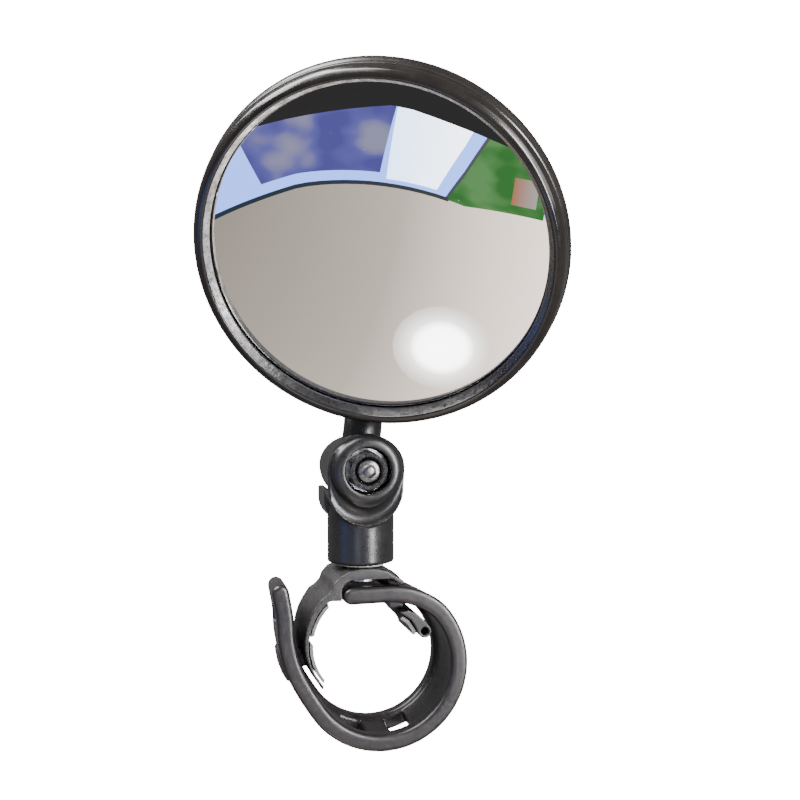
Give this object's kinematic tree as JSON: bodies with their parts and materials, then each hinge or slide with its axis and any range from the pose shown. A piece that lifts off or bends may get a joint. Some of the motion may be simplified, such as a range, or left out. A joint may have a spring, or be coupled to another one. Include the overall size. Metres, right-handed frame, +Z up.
{
  "type": "bicycle handlebar mirror",
  "caption": "Round convex rear-view mirror on a hidden ball joint, with a bolted tilting knuckle and a rubber strap clamp for a bicycle handlebar.",
  "frame": {"origin": "centre of the handlebar's axis inside the clamp, halfway along the clamp's width", "axes": "+Y along the handlebar, from the glass's side to the back; +Z up towards the mirror head; +X to the right of someone who looks along +Y"},
  "size_m": [0.0752, 0.062, 0.1475],
  "materials": {
    "housing_plastic": "glossy injection moulded",
    "bezel_plastic": "glossy outside, rough chamfer inside",
    "mirror_glass": "silvered convex glass",
    "knuckle_plastic": "satin moulded",
    "saddle_plastic": "satin moulded",
    "strap_rubber": "satin rubber",
    "pad_rubber": "matt rubber",
    "seat_nylon": "natural nylon",
    "foam": "closed-cell foam",
    "steel": "zinc plated",
    "black_steel": "black plated"
  },
  "bodies": {
    "clamp": {"clamp_saddle": "saddle_plastic", "clamp_strap": "strap_rubber", "grip_pad_upper": "pad_rubber", "grip_pad_lower": "pad_rubber", "grip_pad_right": "pad_rubber", "swivel_ring": "seat_nylon"},
    "knuckle": {"knuckle_barrel": "knuckle_plastic", "swivel_screw": "steel", "hinge_bolt": "steel", "hinge_nut": "black_steel", "nut_washer": "steel", "head_washer": "steel", "tilt_washer": "seat_nylon"},
    "arm": {"mirror_arm": "knuckle_plastic"},
    "liner_inner": {"ball_liner_inner": "seat_nylon"},
    "liner_outer": {"ball_liner_outer": "seat_nylon"},
    "head": {"back_shell": "housing_plastic", "front_bezel": "bezel_plastic", "mirror_glass": "mirror_glass", "glass_foam_ring": "foam", "socket_cap": "housing_plastic", "seat_ring": "pad_rubber", "cap_screw_1": "steel", "cap_screw_2": "steel", "cap_screw_3": "steel"}
  },
  "joints": [
    {"name": "base_swivel", "type": "hinge", "parent": "clamp", "child": "knuckle", "pos_m": [0, 0, 0.0172], "axis": [0, 0, 1], "continuous": true},
    {"name": "knuckle_tilt", "type": "hinge", "parent": "knuckle", "child": "arm", "pos_m": [0, 0, 0.0382], "axis": [0, 1, 0], "range_deg": [-70, 70]},
    {"name": "head_yaw", "type": "hinge", "parent": "arm", "child": "liner_inner", "pos_m": [0.00623, -0.00526, 0.09203], "axis": [0, 0, 1], "range_deg": [-4, 22]},
    {"name": "head_pitch", "type": "hinge", "parent": "liner_inner", "child": "liner_outer", "pos_m": [0.00623, -0.00526, 0.09203], "axis": [-0.9245, 0.3811, 0], "range_deg": [-2, 26]},
    {"name": "head_spin", "type": "hinge", "parent": "liner_outer", "child": "head", "pos_m": [0.00623, -0.00526, 0.09203], "axis": [-0.3558, -0.8631, -0.3584], "continuous": true}
  ]
}
